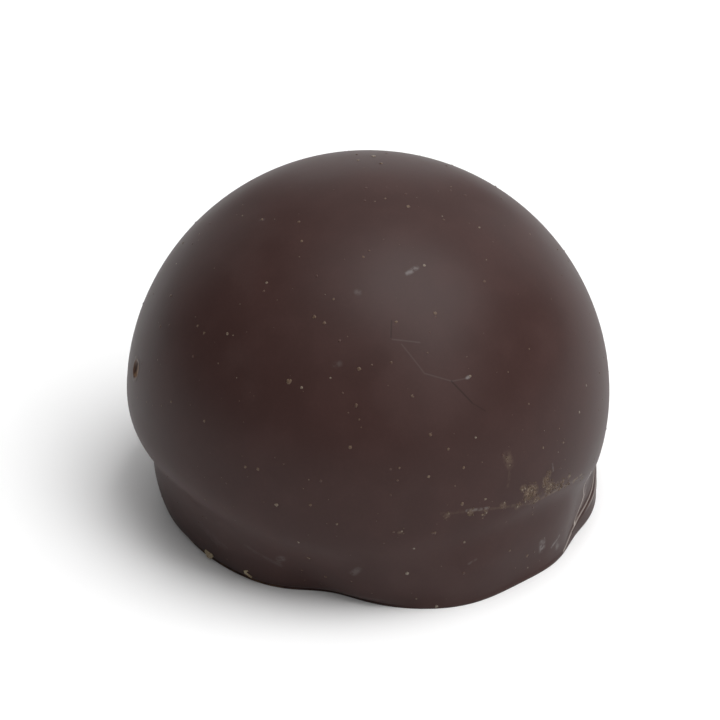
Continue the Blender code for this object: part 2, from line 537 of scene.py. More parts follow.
def wall_profile(coat, bearing):
    """Radius and height of every ring from the sole's edge to the rim."""
    points = wall_points(coat, bearing)
    slopes = smooth_slopes(points, dome_slope(bearing, rim_height_at(bearing)))
    profile = [points[0]]
    for span, steps in enumerate(SPAN_STEPS):
        low_radius, low = points[span]
        high_radius, high = points[span + 1]
        for step in range(1, steps + 1):
            t = step / steps
            radius = low_radius * (1.0 + 2.0 * t) * (1.0 - t) ** 2
            radius += high_radius * (3.0 - 2.0 * t) * t ** 2
            radius += slopes[span] * (high - low) * t * (1.0 - t) ** 2
            radius -= slopes[span + 1] * (high - low) * (1.0 - t) * t ** 2
            profile.append((radius, low + t * (high - low)))
    return [(radius + fine_relief(coat, bearing, height), height) for radius, height in profile]


def dome_profile(coat, bearing):
    """Radius and height of the rings above the rim, without the top point."""
    start = math.asin((rim_height_at(bearing) - DOME_MIDDLE_HEIGHT) / DOME_RADIUS)
    profile = []
    for step in range(1, coat.dome_rings):
        rise = start + (0.5 * math.pi - start) * step / coat.dome_rings
        height = DOME_MIDDLE_HEIGHT + DOME_RADIUS * math.sin(rise)
        profile.append((dome_radius(bearing, height), height))
    return profile


def softened(profile, low, high, reach):
    """The profile with its radii averaged over a reach of height, between two heights."""
    radii, heights = np.array(profile).T
    share = np.clip((heights - low) / reach, 0.0, 1.0) * np.clip((high - heights) / reach, 0.0, 1.0)
    nearness = np.exp(-((heights[:, None] - heights) / reach) ** 2) * np.gradient(heights)
    average = nearness @ radii / nearness.sum(axis=1)
    return list(zip((radii + share * (average - radii)).tolist(), heights.tolist()))


def coat_skin(coat):
    """The closed skin of the praline: side, dome and flat sole."""
    points = []
    rings = 0
    for step in range(coat.columns):
        bearing = 360.0 * step / coat.columns
        across = math.cos(math.radians(bearing))
        along = math.sin(math.radians(bearing))
        profile = wall_profile(coat, bearing) + dome_profile(coat, bearing)
        belly_height = wall_points(coat, bearing)[BELLY_POINT][1]
        profile = softened(profile, belly_height, SOFT_TOP, coat.rim_softness)
        rings = len(profile)
        points.extend((radius * across, radius * along, height) for radius, height in profile)
    top = len(points)
    points.append((0.0, 0.0, DOME_MIDDLE_HEIGHT + DOME_RADIUS))
    sole = len(points)
    points.append((0.0, 0.0, 0.0))
    faces = []
    for step in range(coat.columns):
        here = step * rings
        beside = (step + 1) % coat.columns * rings
        for low in range(rings - 1):
            faces.append((here + low, beside + low, beside + low + 1, here + low + 1))
        faces.append((here + rings - 1, beside + rings - 1, top))
        faces.append((beside, here, sole))
    data = bpy.data.meshes.new("praline_coat")
    data.from_pydata(points, [], faces)
    return data


def refine_near(data, centre, reach, cuts):
    """Divides the edges of a mesh near a point, so that it can hold a small form."""
    mesh = bmesh.new()
    mesh.from_mesh(data)
    near = []
    for edge in mesh.edges:
        if all((corner.co - centre).length < reach for corner in edge.verts):
            near.append(edge)
    bmesh.ops.subdivide_edges(mesh, edges=near, cuts=cuts, use_grid_fill=True)
    bmesh.ops.recalc_face_normals(mesh, faces=mesh.faces)
    mesh.to_mesh(data)
    mesh.free()


def new_geometry_tree(name, sizes):
    """A geometry tree with a named number input for each size. Gives its input wires."""
    tree = bpy.data.node_groups.new(name, "GeometryNodeTree")
    tree.interface.new_socket("Geometry", in_out="INPUT", socket_type="NodeSocketGeometry")
    tree.interface.new_socket("Geometry", in_out="OUTPUT", socket_type="NodeSocketGeometry")
    for size in sizes:
        tree.interface.new_socket(size, in_out="INPUT", socket_type="NodeSocketFloat")
    source = tree.nodes.new("NodeGroupInput")
    return tree, {socket.name: Wire(tree, socket) for socket in source.outputs if socket.name}


def end_tree(geometry, material):
    """Ends a geometry tree: real meshes, each with its material."""
    real = geometry.add("GeometryNodeRealizeInstances", None, {0: geometry})
    painted = real.add("GeometryNodeSetMaterial", None, {"Geometry": real, "Material": material})
    painted.add("NodeGroupOutput", None, {0: painted})


def run_tree(piece, tree, sizes):
    """Runs a geometry tree on a piece and keeps the result as its plain mesh."""
    modifier = piece.modifiers.new(tree.name, "NODES")
    modifier.node_group = tree
    for item in tree.interface.items_tree:
        if item.in_out == "INPUT" and item.name in sizes:
            modifier[item.identifier] = sizes[item.name]
    depsgraph = bpy.context.evaluated_depsgraph_get()
    made = bpy.data.meshes.new_from_object(piece.evaluated_get(depsgraph))
    if not made.polygons:
        raise RuntimeError(f"{piece.name} came out empty")
    piece.modifiers.remove(modifier)
    old = piece.data
    piece.data = made
    made.name = piece.name
    bpy.data.meshes.remove(old)


def add_object(name, data):
    piece = bpy.data.objects.new(name, data)
    bpy.context.scene.collection.objects.link(piece)
    return piece


def settle(piece):
    """Hands a finished piece to the praline's body."""
    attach(piece, BODY)


def outward(place):
    """Unit vector from the dome's middle to each place."""
    away = place.vector("SUBTRACT", place, tuple(DOME_MIDDLE))
    return away.vector("NORMALIZE", away)


def coat_relief(material):
    """Geometry tree for the coat's low waves and the pit in its side."""
    names = ("Dome Wave", "Foot Wave", "Wave Width", "Foot Wave Width", "Pit Radius", "Pit Depth")
    tree, wires = new_geometry_tree("coat_relief", names)
    skin = wires["Geometry"]
    place = skin.add("GeometryNodeInputPosition")
    height = place.part(2)

    dome = place.noise(wires["Wave Width"], detail=1.0) - 0.5
    foot = place.noise(wires["Foot Wave Width"], detail=1.5) - 0.5
    low = height.fade(*FOOT_WAVE_END) * height.rise(*FOOT_WAVE_START)
    above_sole = height.rise(*DOME_WAVE_START)
    waves = dome * wires["Dome Wave"] * above_sole + foot * wires["Foot Wave"] * low

    away = place.measure("DISTANCE", place, tuple(pit_centre())) / wires["Pit Radius"]
    away = away + (place.noise(0.5 * MM) - 0.5) * 0.25
    hollow = away.fade(0.55, 1.1) * wires["Pit Depth"]
    ring = away.rise(0.85, 1.1) * away.fade(1.1, 1.5) * wires["Pit Depth"] * PIT_RING_SHARE

    normal = place.add("GeometryNodeInputNormal")
    shift = normal.times(waves - hollow + ring)
    moved = skin.add("GeometryNodeSetPosition", None, {"Geometry": skin, "Offset": shift})
    smooth = moved.add("GeometryNodeSetShadeSmooth", None, {0: moved})
    end_tree(smooth, material)
    return tree


# Soft pale smudges of fat bloom, each from one bearing and lift to another, with its
# width in millimetres and its strength.
SMUDGES = (
    (287.4, 58.6, 292.6, 59.8, 0.30, 0.75),
    (265.6, 54.7, 266.2, 54.6, 0.40, 0.34),
    (297.6, 31.5, 298.3, 31.6, 0.20, 0.70),
    (260.6, 37.1, 261.6, 37.4, 0.40, 0.16),
    (317.5, -18.4, 317.8, -20.6, 0.50, 0.80),
    (321.9, -21.9, 324.8, -20.4, 0.22, 0.75),
    (324.4, -22.6, 324.9, -23.4, 0.45, 0.60),
    (245.7, -19.9, 247.0, -18.2, 0.50, 0.34),
    (266.2, -18.2, 267.6, -16.2, 0.42, 0.28),
    (217.0, -19.4, 227.0, -21.9, 0.75, 0.10),
    (220.2, -21.9, 224.2, -22.9, 0.30, 0.14),
    (225.0, -21.0, 228.5, -22.0, 0.16, 0.16),
    (236.4, -17.3, 245.8, -21.8, 0.34, 0.14),
    (293.4, -0.2, 299.0, -1.1, 0.20, 0.50),
    (294.6, -15.8, 296.6, -15.0, 0.16, 0.20),
    (196.0, 63.0, 197.0, 63.6, 0.24, 0.20),
    (318.5, 3.4, 318.7, 1.4, 0.12, 0.40),
)

# Thin scratches, given in the same way.
PALE_SCRATCHES = (
    (277.6, 43.1, 286.0, 41.7, 0.10, 0.12),
    (280.3, 41.8, 285.8, 34.5, 0.09, 0.10),
    (285.8, 34.5, 293.1, 31.6, 0.09, 0.12),
    (293.1, 31.6, 297.8, 31.4, 0.09, 0.12),
    (319.4, -5.0, 324.9, -6.2, 0.12, 0.25),
    (324.9, -6.2, 328.5, -6.7, 0.12, 0.35),
    (328.5, -6.7, 335.5, -9.2, 0.12, 0.35),
)
DARK_SCRATCHES = (
    (277.9, 47.6, 277.2, 43.6, 0.10, 0.50),
    (293.0, 31.6, 297.5, 25.6, 0.11, 0.55),
    (297.5, 25.6, 300.7, 22.9, 0.09, 0.35),
)

# Painted highlight along the edge of the skirt's first fold, from the sole up to the dome.
FOLD_GLINTS = (
    (328.6, -26.6, 334.9, -25.7, 0.09, 0.75),
    (334.9, -25.7, 339.8, -22.8, 0.12, 0.90),
    (339.8, -22.8, 343.3, -19.9, 0.14, 1.0),
    (343.3, -19.9, 339.9, -10.5, 0.12, 0.95),
    (336.4, -25.4, 341.6, -22.6, 0.06, 0.40),
    (341.6, -22.6, 345.5, -19.0, 0.07, 0.50),
)

# A dry tan smear at the dome's right, and the thin dry line along the rim below it.
TAN_STREAKS = (
    (304.6, 10.8, 305.2, 8.4, 0.60, 0.34),
    (305.6, 9.2, 304.4, 3.0, 0.22, 0.16),
    (287.1, 0.3, 294.7, -0.5, 0.22, 0.14),
    (294.7, -0.5, 300.0, -1.6, 0.22, 0.20),
    (300.0, -1.6, 305.8, -2.8, 0.18, 0.18),
    (305.8, -2.8, 311.0, -4.3, 0.24, 0.24),
    (311.0, -4.3, 317.0, -5.0, 0.26, 0.34),
    (317.0, -5.0, 324.0, -5.6, 0.22, 0.50),
    (324.0, -5.6, 332.0, -6.6, 0.16, 0.60),
)
SCRATCH_COLOUR = shade(0.016, 0.009, 0.008)
# Pale colour of the painted highlights on the skirt's fold edges.
FOLD_HIGHLIGHT_COLOUR = shade(0.40, 0.35, 0.32)
# Painted shade in the pit's hollow.
PIT_SHADE_COLOUR = shade(0.040, 0.018, 0.010)
TOASTED_COLOUR = shade(0.22, 0.13, 0.065)


def spot(way, bearing, lift, radius):
    """A soft round mark on the coat, by its radius in millimetres."""
    away = way.measure("DISTANCE", way, tuple(direction(bearing, lift)))
    size = radius * MM / DOME_RADIUS
    return away.fade(0.3 * size, 1.2 * size)


def stroke(way, bearing, lift, to_bearing, to_lift, width):
    """A soft mark along the shortest line over the coat between two places."""
    first = direction(bearing, lift)
    last = direction(to_bearing, to_lift)
    half_width = 0.5 * width * MM / DOME_RADIUS
    side = first.cross(last).normalized()
    reach = 0.5 * (last - first).length + half_width
    off = abs(way.measure("DOT_PRODUCT", way, tuple(side)))
    along = way.measure("DISTANCE", way, tuple((first + last).normalized()))
    across = off.fade(0.3 * half_width, 1.5 * half_width)
    return across * along.fade(reach - half_width, reach + 0.5 * half_width)


def strokes(way, marks):
    """All the marks of a table laid over each other."""
    total = None
    for *ends, width, strength in marks:
        mark = stroke(way, *ends, width) * strength
        total = mark if total is None else total.math("MAXIMUM", total, mark)
    return total


def crumb_cover(way):
    """Where the crumbs lie, from 0 to 1."""
    cover = None
    for bearing, lift, half_size, share in CRUMB_PATCHES:
        patch = spot(way, bearing, lift, half_size) * share
        cover = patch if cover is None else cover.math("MAXIMUM", cover, patch)
    return cover


def fold_highlights(coat, place):
    """Where the painted highlights on the edges of the skirt's folds lie, from 0 to 1."""
    across = place.part(0)
    along = place.part(1)
    height = place.part(2)
    turn = along.math("ARCTAN2", along, across) * (180.0 / math.pi) - SKIRT_BEARING
    front = turn * (1.0 / SKIRT_RUN_TO_FRONT) + 1.0
    nearness = 1.0 - turn / SKIRT_RUN_TO_BACK
    back = nearness * (2.0 - nearness)
    share = front.math("MINIMUM", front, back)
    share = share.math("MAXIMUM", share, 0.0)
    crease = SOLE_ROUND_HEIGHT + share * coat.skirt_height + LEAST_STEP + SKIRT_CREASE_DROP
    edges = None
    for fold, _, start, highlight_strength in FOLDS:
        away = abs(height - crease * fold - FOLD_RISE)
        edge = away.fade(0.2 * FOLD_HIGHLIGHT_WIDTH, FOLD_HIGHLIGHT_WIDTH)
        edge = edge * share.rise(start, start + 0.25) * highlight_strength
        edges = edge if edges is None else edges.math("MAXIMUM", edges, edge)
    return edges * along.fade(0.0, FOLD_HIGHLIGHT_START)


def marked_colour(coat, place, way):
    """The chocolate's colour with its bloom, scratches, tan smears and painted highlights on the
    skirt's folds, and the bloom alone.
    """
    blots = place.noise(BLOT_WIDTH, detail=3.0)
    grain = place.noise(GRAIN_WIDTH)
    mottle = blots.rise(0.35, 0.70) * 0.7 + grain.rise(0.40, 0.75) * 0.3
    colour = mottle.mix(tuple(coat.deep_colour), tuple(coat.colour))

    worn = place.noise(WEAR_WIDTH, detail=3.0).rise(0.30, 0.62)
    haze = place.noise(HAZE_WIDTH, detail=4.0).rise(0.52, 0.80) * 0.03
    bloom = strokes(way, SMUDGES) * worn + strokes(way, PALE_SCRATCHES) + haze
    colour = bloom.math("MINIMUM", bloom, 1.0).mix(colour, tuple(coat.bloom_colour))
    # Painted highlight on the skirt's fold edges and along the first fold's glint strokes.
    edges = fold_highlights(coat, place)
    edges = edges.math("MAXIMUM", edges, strokes(way, FOLD_GLINTS))
    colour = edges.mix(colour, FOLD_HIGHLIGHT_COLOUR)

    dark = strokes(way, DARK_SCRATCHES)
    colour = dark.mix(colour, SCRATCH_COLOUR)

    dusty = place.noise(DUST_WIDTH, detail=3.0).rise(0.34, 0.58)
    dust = crumb_cover(way) * dusty * coat.dust + strokes(way, TAN_STREAKS) * worn
    colour = dust.mix(colour, tuple(coat.dust_colour))
    return colour, bloom, dark


def pit_shade_light_and_rim(coat, place, colour):
    """Adds painted shade in the pit's hollow, painted light in the tan colour on its one side, and
    its light brown rim.
    """
    centre = tuple(pit_centre())
    away = place.measure("DISTANCE", place, centre) / coat.pit_radius
    away = away + (place.noise(FINE_RIPPLE_WIDTH) - 0.5) * 0.3
    inward = place.vector("SUBTRACT", place, centre)
    front = direction(PIT_BEARING + 90.0, 0.0)
    # Painted light on the pit's one side, as if its far wall caught the light.
    lit_side = inward.measure("DOT_PRODUCT", inward, tuple(front)).rise(-0.36 * MM, -0.14 * MM)
    rim = away.rise(0.7, 0.95) * away.fade(0.95, 1.3) * 0.35
    rim = rim.math("MAXIMUM", rim, away.fade(0.8, 1.1) * lit_side)
    colour = rim.mix(colour, tuple(coat.tan_colour))
    # Painted shade over the rest of the hollow, away from its lit side.
    return (away.fade(0.6, 0.95) * (1.0 - lit_side) * 0.85).mix(colour, PIT_SHADE_COLOUR)


def lip_edge_light(coat, place, height, colour):
    """Paints light in the tan colour along the lower edge of the sole's thin lip at the lower left.
    """
    flat = place.vector("MULTIPLY", place, (1.0, 1.0, 0.0))
    toward = direction(LIP_LOBES[0][0], 0.0)
    near = flat.vector("NORMALIZE", flat)
    near = near.measure("DOT_PRODUCT", near, tuple(toward)).rise(0.86, 0.97)
    thin = height.fade(0.05 * MM, 0.20 * MM) * place.noise(0.6 * MM).rise(0.35, 0.6)
    # Painted light where the lip's thin lower edge catches the light.
    return (near * thin * 0.7).mix(colour, tuple(coat.tan_colour))


def chocolate_material(coat):
    """The set coat: mottled dark chocolate with bloom, scuffs and scratches, painted highlights on
    its folds, painted shade and light in its pit and painted light along its lip.
    """
    material, start = new_material("poured_dark_chocolate")
    place = start.add("ShaderNodeTexCoord", None, None, output=3)
    way = outward(place)
    height = place.part(2)
    colour, bloom, dark = marked_colour(coat, place, way)
    # Painted shade and light in the pit, and painted light along the lip's lower edge.
    colour = pit_shade_light_and_rim(coat, place, colour)
    colour = lip_edge_light(coat, place, height, colour)

    uneven = place.noise(BLOT_WIDTH, detail=3.0) - 0.5
    roughness = coat.roughness + uneven * 0.10 + bloom * 0.4
    bump = place.noise(FINE_RIPPLE_WIDTH, detail=3.0) * 0.5 + place.noise(RIPPLE_WIDTH)
    bump = bump - dark * 2.0
    sockets = {"Strength": 0.25, "Distance": BUMP_HEIGHT, "Height": bump}
    normal = place.add("ShaderNodeBump", None, sockets)
    sockets = {"Base Color": colour, "Roughness": roughness, "IOR": CHOCOLATE_IOR, "Normal": normal}
    satin = place.add("ShaderNodeBsdfPrincipled", None, sockets)
    sockets = {"Base Color": colour, "Specular IOR Level": 0.0, "Normal": normal}
    matt = place.add("ShaderNodeBsdfPrincipled", None, sockets)
    shader = place.add("ShaderNodeMixShader", None, {0: coat.gloss, 1: matt, 2: satin})
    shader.add("ShaderNodeOutputMaterial", None, {"Surface": shader})
    return material


def tinted_material(name, dull, bright, pale, roughness):
    """A dry speck or crumb, whose own tint runs from dull through bright to pale."""
    material, start = new_material(name)
    tint = start.add("ShaderNodeAttribute", {"attribute_name": "tint"}, None, output=2)
    place = tint.add("ShaderNodeTexCoord", None, None, output=3)
    grain = place.noise(0.05 * MM) - 0.5
    stops = ((0.0, dull), (0.7, bright), (1.0, pale))
    colour = tint.add("ShaderNodeValToRGB", {"stops": stops}, {0: tint + grain * 0.3})
    sockets = {"Base Color": colour, "Roughness": roughness, "IOR": SPECK_IOR}
    shader = tint.add("ShaderNodeBsdfPrincipled", None, sockets)
    shader.add("ShaderNodeOutputMaterial", None, {"Surface": shader})
    return material


class PRALINE_OT_add_coat(bpy.types.Operator):
    """Add the poured chocolate coat over the praline's whole body"""

    bl_idname = "praline.add_coat"
    bl_label = "Add Coat"

    def execute(self, context):
        coat = context.scene.praline_coat
        data = coat_skin(coat)
        refine_near(data, pit_centre(), PIT_REFINE_REACH, PIT_REFINE_CUTS)
        piece = add_object("praline_coat", data)
        sizes = {
            "Dome Wave": coat.dome_wave,
            "Foot Wave": coat.foot_wave,
            "Wave Width": coat.wave_width,
            "Foot Wave Width": coat.foot_wave_width,
            "Pit Radius": coat.pit_radius,
            "Pit Depth": coat.pit_depth,
        }
        run_tree(piece, coat_relief(chocolate_material(coat)), sizes)
        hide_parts(PRALINE_NODE)
        settle(piece)
        return {"FINISHED"}


# Larger specks that sit in the coat: bearing, lift, radius in millimetres and tint, from
# 0, dull, through 0.7, tan, to 1, pale.
PLACED_SPECKS = (
    (85.0, 73.6, 0.15, 1.0),
    (73.6, 79.1, 0.12, 0.72),
    (100.6, 77.1, 0.09, 0.85),
    (315.0, 76.8, 0.13, 0.60),
    (298.9, 81.8, 0.07, 0.50),
    (267.4, 64.0, 0.09, 0.45),
    (196.5, 63.3, 0.10, 0.62),
    (279.5, 47.1, 0.09, 0.66),
    (293.6, 47.8, 0.12, 0.50),
    (255.2, 46.5, 0.11, 0.48),
    (251.3, 47.5, 0.12, 0.52),
    (267.4, 36.4, 0.12, 0.60),
    (298.7, 31.7, 0.08, 0.85),
    (248.1, 31.8, 0.17, 0.70),
    (224.3, 37.5, 0.09, 0.80),
    (216.2, 34.8, 0.09, 0.66),
    (281.7, 29.7, 0.11, 0.40),
    (266.9, 28.1, 0.11, 0.35),
    (285.4, 20.4, 0.13, 0.40),
    (265.6, 18.3, 0.10, 0.65),
    (213.8, 16.0, 0.09, 0.55),
    (289.5, 16.2, 0.08, 0.60),
    (284.2, 10.3, 0.10, 0.74),
    (292.9, 11.0, 0.09, 0.62),
    (315.7, 8.8, 0.08, 0.72),
    (243.3, 9.8, 0.10, 0.60),
    (239.9, 9.4, 0.09, 0.58),
    (256.5, 3.2, 0.09, 0.55),
    (248.3, 1.7, 0.12, 0.80),
    (253.2, -8.5, 0.09, 0.95),
    (254.7, -15.5, 0.12, 0.72),
    (258.4, -22.8, 0.10, 0.60),
    (279.5, -16.8, 0.11, 0.98),
    (287.1, -26.7, 0.11, 1.0),
    (293.3, -9.5, 0.09, 0.80),
    (285.7, -4.9, 0.09, 0.50),
    (292.2, 1.9, 0.12, 0.62),
    (298.2, 1.6, 0.08, 0.85),
    (312.6, -20.3, 0.10, 0.66),
)

# Crumbs cling along the rim at the right: bearing, lift, half size in millimetres and
# how thickly they lie.
CRUMB_PATCHES = (
    (311.3, -1.3, 0.62, 1.6),
    (308.8, 0.9, 0.28, 0.8),
    (313.3, -4.2, 0.34, 0.9),
    (316.3, -0.3, 0.42, 1.2),
    (317.3, 1.2, 0.26, 0.9),
    (317.6, -3.0, 0.46, 1.3),
    (320.3, -3.6, 0.30, 1.0),
    (322.6, -3.8, 0.26, 1.0),
    (325.2, -3.6, 0.22, 0.8),
    (322.0, -5.4, 0.20, 1.0),
    (325.0, -6.2, 0.18, 1.0),
    (328.5, -6.8, 0.18, 0.9),
    (332.8, -8.2, 0.16, 0.7),
    (307.4, -3.6, 0.28, 0.5),
    (303.0, -1.6, 0.28, 0.6),
    (298.2, -1.9, 0.24, 0.6),
    (294.4, -0.9, 0.26, 0.7),
    (288.4, -0.6, 0.24, 0.6),
    (277.4, -3.8, 0.18, 0.6),
    (304.9, 9.7, 0.30, 0.4),
)


def tint_points(points, tint, wide):
    """Stores each point's tint and radius, for the meshes that will stand on it."""
    named = {"data_type": "FLOAT", "domain": "POINT"}
    for name, value in (("tint", tint), ("wide", wide)):
        sockets = {"Geometry": points, "Name": name, "Value": value}
        points = points.add("GeometryNodeStoreNamedAttribute", named, sockets)
    return points


def stand_on(points, turn, wide, flatness, lump, material):
    """Puts a small lumpy body on every point, pressed flat along the coat."""
    ball = points.add("GeometryNodeMeshIcoSphere", None, {"Radius": 1.0, "Subdivisions": 2})
    size = points.add("ShaderNodeCombineXYZ", None, {0: wide, 1: wide, 2: wide * flatness})
    sockets = {"Points": points, "Instance": ball, "Rotation": turn, "Scale": size}
    bodies = points.add("GeometryNodeInstanceOnPoints", None, sockets)
    bodies = bodies.add("GeometryNodeRealizeInstances", None, {0: bodies})
    place = bodies.add("GeometryNodeInputPosition")
    radius = named_number(bodies, "wide")
    push = (place.noise(0.09 * MM, detail=1.0) - 0.5) * radius * lump
    shift = bodies.add("GeometryNodeInputNormal").times(push)
    bodies = bodies.add("GeometryNodeSetPosition", None, {"Geometry": bodies, "Offset": shift})
    smooth = bodies.add("GeometryNodeSetShadeSmooth", None, {0: bodies})
    end_tree(smooth, material)


def named_number(wire, name):
    return wire.add("GeometryNodeInputNamedAttribute", {"data_type": "FLOAT"}, {"Name": name})


def random_share(wire, seed):
    """A random number from 0 to 1 for each point."""
    return wire.add("FunctionNodeRandomValue", {"data_type": "FLOAT"}, {"Seed": seed}, output=1)


def scatter_tree(name, only_crumbs, material):
    """Geometry tree that scatters small bodies over a skin, or where its crumbs lie."""
    names = ("Density", "Least Radius", "Largest Radius", "Seed", "Flatness", "Lump")
    tree, wires = new_geometry_tree(name, names)
    skin = wires["Geometry"]
    density = wires["Density"]
    if only_crumbs:
        density = crumb_cover(outward(skin.add("GeometryNodeInputPosition"))) * density
    sockets = {"Mesh": skin, "Density": density, "Seed": wires["Seed"]}
    points = skin.add("GeometryNodeDistributePointsOnFaces", None, sockets)
    turn = Wire(tree, points.socket.node.outputs["Rotation"])
    seed = wires["Seed"]
    span = wires["Largest Radius"] - wires["Least Radius"]
    wide = wires["Least Radius"] + span * random_share(points, seed + 1.0) ** 3.0
    points = tint_points(points, random_share(points, seed + 2.0) ** 2.0, wide)
    stand_on(points, turn, named_number(points, "wide"), wires["Flatness"], wires["Lump"], material)
    return tree


def placed_tree(name, material):
    """Geometry tree that stands small bodies on a mesh of single points."""
    tree, wires = new_geometry_tree(name, ("Flatness", "Lump"))
    points = wires["Geometry"]
    away = {"data_type": "FLOAT_VECTOR"}
    normal = points.add("GeometryNodeInputNamedAttribute", away, {"Name": "outward"})
    turn = points.add("FunctionNodeAlignRotationToVector", {"axis": "Z"}, {"Vector": normal})
    stand_on(points, turn, named_number(points, "wide"), wires["Flatness"], wires["Lump"], material)
    return tree


def coat_surface(way):
    """Where a line from the dome's middle leaves the coat, and the coat's normal there."""
    depsgraph = bpy.context.evaluated_depsgraph_get()
    coat = BVHTree.FromObject(bpy.data.objects["praline_coat"], depsgraph)
    place, normal, _, _ = coat.ray_cast(DOME_MIDDLE, way)
    if place is None:
        raise RuntimeError("the coat has a hole")
    return place, normal


def point_cloud(name, specks):
    """A mesh of single points on the coat, each with its radius, tint and normal."""
    places = [coat_surface(direction(bearing, lift)) for bearing, lift, _, _ in specks]
    data = bpy.data.meshes.new(name)
    data.from_pydata([place for place, _ in places], [], [])
    wide = data.attributes.new("wide", "FLOAT", "POINT")
    wide.data.foreach_set("value", [radius * MM for _, _, radius, _ in specks])
    tint = data.attributes.new("tint", "FLOAT", "POINT")
    tint.data.foreach_set("value", [shade_of for _, _, _, shade_of in specks])
    away = data.attributes.new("outward", "FLOAT_VECTOR", "POINT")
    away.data.foreach_set("vector", [part for _, normal in places for part in normal])
    return data


def skin_copy(name):
    """A copy of the finished coat's mesh, for a geometry tree to scatter over."""
    data = bpy.data.objects["praline_coat"].data.copy()
    data.name = name
    return data


def skin_area(data):
    return sum(face.area for face in data.polygons)


class PRALINE_OT_add_specks(bpy.types.Operator):
    """Add the nut, cocoa and sugar specks that sit in the coat"""

    bl_idname = "praline.add_specks"
    bl_label = "Add Specks"

    def execute(self, context):
        specks = context.scene.praline_specks
        colours = (tuple(specks.dull_colour), tuple(specks.tan_colour), tuple(specks.pale_colour))
        material = tinted_material("coat_specks", *colours, 0.45)

        fine = add_object("fine_specks", skin_copy("fine_specks"))
        sizes = {
            "Density": specks.count / skin_area(fine.data),
            "Least Radius": specks.fine_radius,
            "Largest Radius": specks.coarse_radius,
            "Seed": float(specks.seed),
            "Flatness": 0.30,
            "Lump": 1.2,
        }
        run_tree(fine, scatter_tree("scattered_specks", False, material), sizes)
        settle(fine)

        large = add_object("large_specks", point_cloud("large_specks", PLACED_SPECKS))
        run_tree(large, placed_tree("placed_specks", material), {"Flatness": 0.25, "Lump": 1.4})
        settle(large)
        return {"FINISHED"}


class PRALINE_OT_add_crumbs(bpy.types.Operator):
    """Add the tan crumbs that cling along the rim at the right"""

    bl_idname = "praline.add_crumbs"
    bl_label = "Add Crumbs"

    def execute(self, context):
        specks = context.scene.praline_specks
        colours = (tuple(specks.crust_colour), tuple(specks.tan_colour), tuple(specks.pale_colour))
        material = tinted_material("rim_crumbs", *colours, 0.7)
        crumbs = add_object("rim_crumbs", skin_copy("rim_crumbs"))
        patch_area = sum(share * math.pi * (size * MM) ** 2 for _, _, size, share in CRUMB_PATCHES)
        sizes = {
            "Density": specks.crumb_count / patch_area,
            "Least Radius": specks.least_crumb,
            "Largest Radius": specks.largest_crumb,
            "Seed": float(specks.seed),
            "Flatness": 0.45,
            "Lump": 1.2,
        }
        run_tree(crumbs, scatter_tree("scattered_crumbs", True, material), sizes)
        settle(crumbs)
        return {"FINISHED"}


# Wafer flakes stuck to the foot's lower left: bearing, lift, turn, lean upward from the
# wall in degrees, and outline in millimetres, to the right and upward.
FLAKES = (
    (219.4, -28.0, -14.0, 38.0, (
        (-0.42, 0.24), (-0.22, 0.36), (-0.08, 0.18), (0.14, 0.26),
        (0.42, 0.08), (0.36, -0.20), (0.06, -0.30), (-0.36, -0.16),
    )),
    (235.0, -27.3, -16.0, 12.0, (
        (-0.30, 0.02), (-0.06, 0.26), (0.02, 0.20), (-0.10, 0.0),
        (0.34, -0.08), (0.32, -0.16), (-0.20, -0.13),
    )),
)


def flake_mesh(thickness):
    """Thin slabs with ragged outlines, laid on the coat."""
    mesh = bmesh.new()
    for bearing, lift, turn, lean, outline in FLAKES:
        place, normal = coat_surface(direction(bearing, lift))
        side = Vector((0.0, 0.0, 1.0)).cross(normal).normalized()
        normal = Matrix.Rotation(-math.radians(lean), 3, side) @ normal
        rise = normal.cross(side)
        across = math.cos(math.radians(turn)) * side + math.sin(math.radians(turn)) * rise
        upward = normal.cross(across)
        rings = []
        for height in (-0.4 * thickness, 0.6 * thickness):
            ring = []
            for right, up in outline:
                spot_on = place + right * MM * across + up * MM * upward + height * normal
                ring.append(mesh.verts.new(spot_on))
            rings.append(ring)
        mesh.faces.new(reversed(rings[0]))
        mesh.faces.new(rings[1])
        for index, low in enumerate(rings[0]):
            beside = (index + 1) % len(outline)
            mesh.faces.new((low, rings[0][beside], rings[1][beside], rings[1][index]))
    bmesh.ops.recalc_face_normals(mesh, faces=mesh.faces)
    bmesh.ops.triangulate(mesh, faces=mesh.faces)
    bmesh.ops.subdivide_edges(mesh, edges=mesh.edges, cuts=2, use_grid_fill=True)
    data = bpy.data.meshes.new("wafer_flakes")
    mesh.to_mesh(data)
    mesh.free()
    return data


def flake_material(colour):
    material, start = new_material("wafer_flake")
    place = start.add("ShaderNodeTexCoord", None, None, output=3)
    crumb = place.noise(FLAKE_GRAIN_WIDTH, detail=3.0)
    toasted = crumb.rise(0.45, 0.70).mix(colour, TOASTED_COLOUR)
    shader = place.add("ShaderNodeBsdfPrincipled", None, {"Base Color": toasted, "Roughness": 0.8})
    shader.add("ShaderNodeOutputMaterial", None, {"Surface": shader})
    return material


class PRALINE_OT_add_flakes(bpy.types.Operator):
    """Add the wafer flakes stuck to the foot's lower left"""

    bl_idname = "praline.add_flakes"
    bl_label = "Add Flakes"

    def execute(self, context):
        specks = context.scene.praline_specks
        flakes = add_object("wafer_flakes", flake_mesh(specks.flake_thickness))
        flakes.data.materials.append(flake_material(tuple(specks.flake_colour)))
        settle(flakes)
        return {"FINISHED"}


